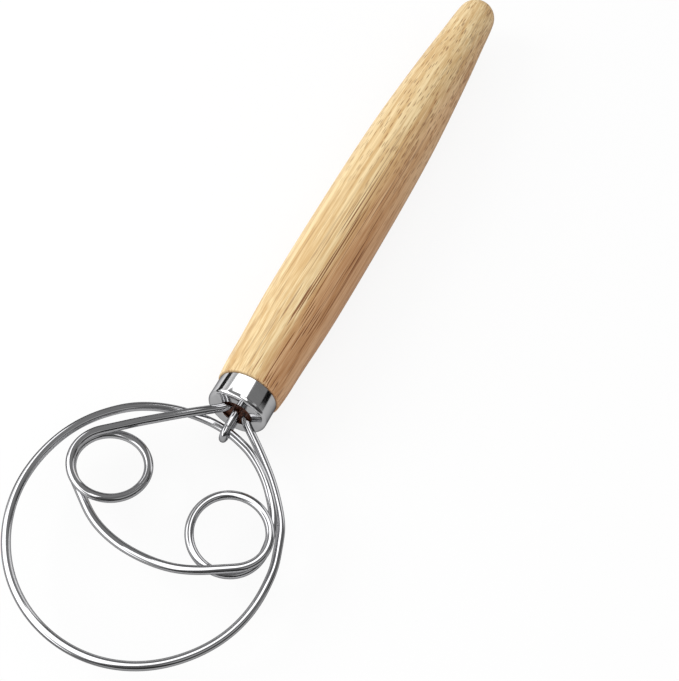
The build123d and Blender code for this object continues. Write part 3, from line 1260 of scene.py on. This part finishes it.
@dataclass
class Studio:
    """Plain soft light, a pale floor and the photograph's camera.

    The steel shows the gloss box overhead, the tones round it, the cards and the floor's tones.
    Matt surfaces are lit by the soft box and its tones. Directions have steps on their parts along,
    across and up, and on their turn across from the zenith in degrees. The floor's steps are in metres.
    """

    floor_rings: Numbers = (0.2, 1.0, 3.0)
    floor_sides: int = 96
    floor_colour: Numbers = (0.93, 0.93, 0.93, 1.0)
    floor_own_light: float = 0.86
    floor_gloss: float = 0.50
    floor_tones: tuple[Tone, ...] = (
        Tone(0.62, [(ACROSS, 0.005, -0.025)]),
        Tone(0.22, [(ALONG, 0.175, 0.195), (ACROSS, 0.030, 0.015)]),
        Tone(1.15, [(ALONG, 0.068, 0.060), (ACROSS, -0.008, -0.016)]),
        Tone(0.02, [(ACROSS, -0.052, -0.060), (ACROSS, -0.110, -0.100), (ALONG, 0.14, 0.12)],
             [(ALONG, 0.068, 0.060), (ACROSS, -0.045, -0.053), (ACROSS, -0.50, -0.40)]),
    )
    card_height: float = 52.0
    cards: tuple[Card, ...] = (
        Card("left_card", 0.26, (
            (-17, -12), (58, -11), (62, -24), (84, -30), (80, -44), (66, -56), (32, -77), (5, -95),
            (-50, -95), (-41, -66), (-30, -50), (-21, -31))),
        Card("right_card", 0.13, ((-13, -5), (-2, -5), (2, 12), (-1, 40), (-13, 44))),
    )
    box_slant: float = 9.0
    gloss_box: float = 2.1
    gloss_tones: tuple[Tone, ...] = (
        # The wall at the right, with a grey stripe and its dark and grey foot
        Tone(0.19, [(SLANT, 7, 11)]),
        Tone(0.50, [(TURN, 33, 37), (TURN, 52, 48), (ALONG, -0.40, -0.25)]),
        Tone(0.0, [(TURN, 60, 63), (ALONG, -0.43, -0.47)]),
        Tone(0.27, [(TURN, 62, 66), (ALONG, -0.47, -0.43)]),
        Tone(0.07, [(TURN, 53, 57), (ALONG, -0.30, -0.20)]),
        Tone(0.45, [(TURN, 85, 88)]),
        # The wall at the left, paler at its foot
        Tone(0.48, [(TURN, -66, -70), (ALONG, 0.05, -0.10)]),
        Tone(0.75, [(TURN, -79, -82), (ALONG, 0.05, -0.10)]),
        # The wall behind, darker at the right, with a pale window far down
        Tone(0.22, [(ALONG, -0.56, -0.63)]),
        Tone(0.12, [(ALONG, -0.56, -0.63), (ACROSS, -0.38, -0.30)]),
        Tone(1.1, [(ALONG, -0.68, -0.75), (ACROSS, 0.08, 0.14)]),
        # The wall ahead, grey at the left and dark at the right
        Tone(0.40, [(ALONG, 0.66, 0.80), (TURN, -40, -28)]),
        Tone(0.12, [(ALONG, 0.36, 0.46), (TURN, 12, 18)]),
        Tone(0.03, [(ALONG, 0.36, 0.46), (TURN, 42, 47), (TURN, 87, 84)]),
    )
    soft_box: float = 0.95
    soft_tones: tuple[Tone, ...] = (
        Tone(0.52, [(TURN, 0, 75)]),
        Tone(0.5, [(ALONG, -0.75, -0.95)]),
        Tone(0.5, [(UP, 0.0, -0.05)]),
    )
    lamp_power: float = 5.0
    lamp_size: float = 0.55
    lamp_distance: float = 1.0
    lamp_lift: float = 28.0
    lamp_side: Pair = (0.41, -0.87)
    camera_place: Triple = (191.9, 18.5, 356.0)
    camera_tilt: float = 56.12
    camera_roll: float = 29.6
    lens: float = 62.56
    sensor: float = 36.0

    def build(self) -> None:
        """Builds the floor, the cards, the light and the camera."""
        self._floor()
        for card in self.cards:
            self._card(card)
        self._world()
        self._lamp()
        self._camera()

    @staticmethod
    def _rays(tree: Shading) -> list[Signal]:
        """Gives 1 for rays from the camera, for rays from a gloss and for rays through a glass."""
        node = tree.make("ShaderNodeLightPath")
        return [Signal(tree, node.outputs[f"Is {kind} Ray"]) for kind in ("Camera", "Glossy", "Transmission")]

    def _floor(self) -> None:
        """Lays the floor: a wide disc whose colour comes mostly from itself, so shadows on it stay faint.

        Ring i has the points (r cos a, r sin a) of its radius r, and the disc closes at the origin.
        """
        sides, count = self.floor_sides, len(self.floor_rings)
        angle = np.linspace(0, 2 * np.pi, sides, endpoint=False)[None, :]
        radii = np.array(self.floor_rings)[:, None]
        rings = np.stack([radii * np.cos(angle), radii * np.sin(angle), np.zeros((count, sides))], axis=-1)
        side = np.arange(sides)
        fan = np.stack([side, (side + 1) % sides, np.full(sides, count * sides)], axis=-1)
        floor = plain_mesh("floor", np.concatenate([rings.reshape(-1, 3), np.zeros((1, 3))]),
                           ring_quads(count, sides)[:, ::-1].tolist() + fan.tolist())
        material, tree = new_material("pale_floor")
        camera, glossy, clear = self._rays(tree)
        ahead, aside, _ = tree.axes(tree.signal("ShaderNodeTexCoord", "Object"))
        in_gloss = tree.toned(self.floor_gloss, self.floor_tones, {ALONG: ahead, ACROSS: aside})
        matt = tree.make("ShaderNodeBsdfDiffuse", inputs={"Color": self.floor_colour})
        own = tree.make("ShaderNodeEmission", inputs={
            "Color": WHITE, "Strength": tree.layer(1.0, glossy, in_gloss)})
        share = tree.layer(camera.larger(clear) * self.floor_own_light, glossy, 1.0)
        tree.show(tree.make("ShaderNodeMixShader", inputs={0: share, 1: matt.outputs[0], 2: own.outputs[0]}))
        floor.data.materials.append(material)

    def _card(self, kind: Card) -> None:
        """Hangs a grey card above the head, which shows only as a gloss on the steel.

        Args:
            kind: The card's name, level and corners.
        """
        spots = np.array([(*corner, self.card_height) for corner in kind.corners], dtype=float)
        card = plain_mesh(kind.name, in_row(spots), [list(range(len(spots)))])
        material, tree = new_material(kind.name)
        tree.show(tree.make("ShaderNodeEmission", inputs={"Color": WHITE, "Strength": kind.level}))
        card.data.materials.append(material)
        card.visible_camera = card.visible_diffuse = card.visible_shadow = card.visible_transmission = False

    def _world(self) -> None:
        """Sets the world: white behind everything, a soft studio for light and a striped one for gloss.

        Both studios are levels over directions. The turn is atan2(across, up), which is 0 at the
        zenith, and the slanted turn is turn - slant along. Each tone replaces the level below it.
        """
        world = bpy.data.worlds.new("studio")
        world.use_nodes = True
        bpy.context.scene.world = world
        tree = Shading(world.node_tree)
        along, across, up = tree.axes(tree.signal("ShaderNodeTexCoord", "Generated"))
        turn = across.turned_from(up)
        measures = {ALONG: along, ACROSS: across, UP: up, TURN: turn, SLANT: turn - along * self.box_slant}
        gloss = tree.toned(self.gloss_box, self.gloss_tones, measures)
        soft = tree.toned(self.soft_box, self.soft_tones, measures)
        camera, glossy, _ = self._rays(tree)
        level = tree.layer(tree.layer(soft, glossy, gloss), camera, 1.0)
        tree.show(tree.make("ShaderNodeBackground", inputs={"Color": WHITE, "Strength": level}),
                  "ShaderNodeOutputWorld")

    def _lamp(self) -> None:
        """Hangs a wide soft lamp at the photograph's left."""
        lift = math.radians(self.lamp_lift)
        away = unit(np.array([*self.lamp_side, 0.0])) * math.cos(lift) + np.array([0, 0, math.sin(lift)])
        light = bpy.data.lights.new("soft_lamp", "AREA")
        light.shape, light.size, light.energy = "DISK", self.lamp_size, self.lamp_power
        lamp = linked("soft_lamp", light)
        lamp.location = Vector(away * self.lamp_distance)
        lamp.rotation_euler = Vector(away).to_track_quat("Z", "Y").to_euler()
        lamp.visible_glossy = lamp.visible_camera = False

    def _camera(self) -> None:
        """Sets the camera where the photograph was taken from.

        It looks back along the tool and down by the tilt, and its right axis is turned up by the roll.
        """
        tilt, roll = math.radians(self.camera_tilt), math.radians(self.camera_roll)
        look = np.array([-math.cos(tilt), 0, -math.sin(tilt)])
        level_up = np.array([-math.sin(tilt), 0, math.cos(tilt)])
        level_right = np.array([0.0, 1.0, 0.0])
        right = math.cos(roll) * level_right + math.sin(roll) * level_up
        above = math.cos(roll) * level_up - math.sin(roll) * level_right
        matrix = np.eye(4)
        matrix[:3, :3] = np.stack([right, above, -look], axis=-1)
        matrix[:3, 3] = in_row(np.array(self.camera_place))
        data = bpy.data.cameras.new("camera")
        data.lens, data.sensor_width, data.sensor_fit = self.lens, self.sensor, "HORIZONTAL"
        camera = linked("camera", data)
        camera.matrix_world = Matrix(matrix.tolist())
        bpy.context.scene.camera = camera


def main() -> None:
    """Builds every piece in order, then the studio."""
    logging.basicConfig(level=logging.INFO, format="%(name)s: %(message)s")
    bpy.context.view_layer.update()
    wood = Hardwood().material()
    wire_steel = PolishedSteel(SteelKind.WIRE, tint=colour(206, 206, 208), gloss=0.07).material()
    sheet_steel = PolishedSteel(SteelKind.SHEET).material()
    ferrule, wire, hook = Ferrule(), WhiskWire(), RetainingHook()
    pieces = [
        TurnedHandle().build(wood, ferrule, wire, hook),
        ferrule.build(sheet_steel),
        wire.build(wire_steel),
        hook.build(wire_steel),
    ]
    for piece in pieces:
        log.info("%s: %d faces", piece.name, len(piece.data.polygons))
    Studio().build()
    bpy.context.scene.view_settings.view_transform = "Standard"


if __name__ == "__main__":
    main()
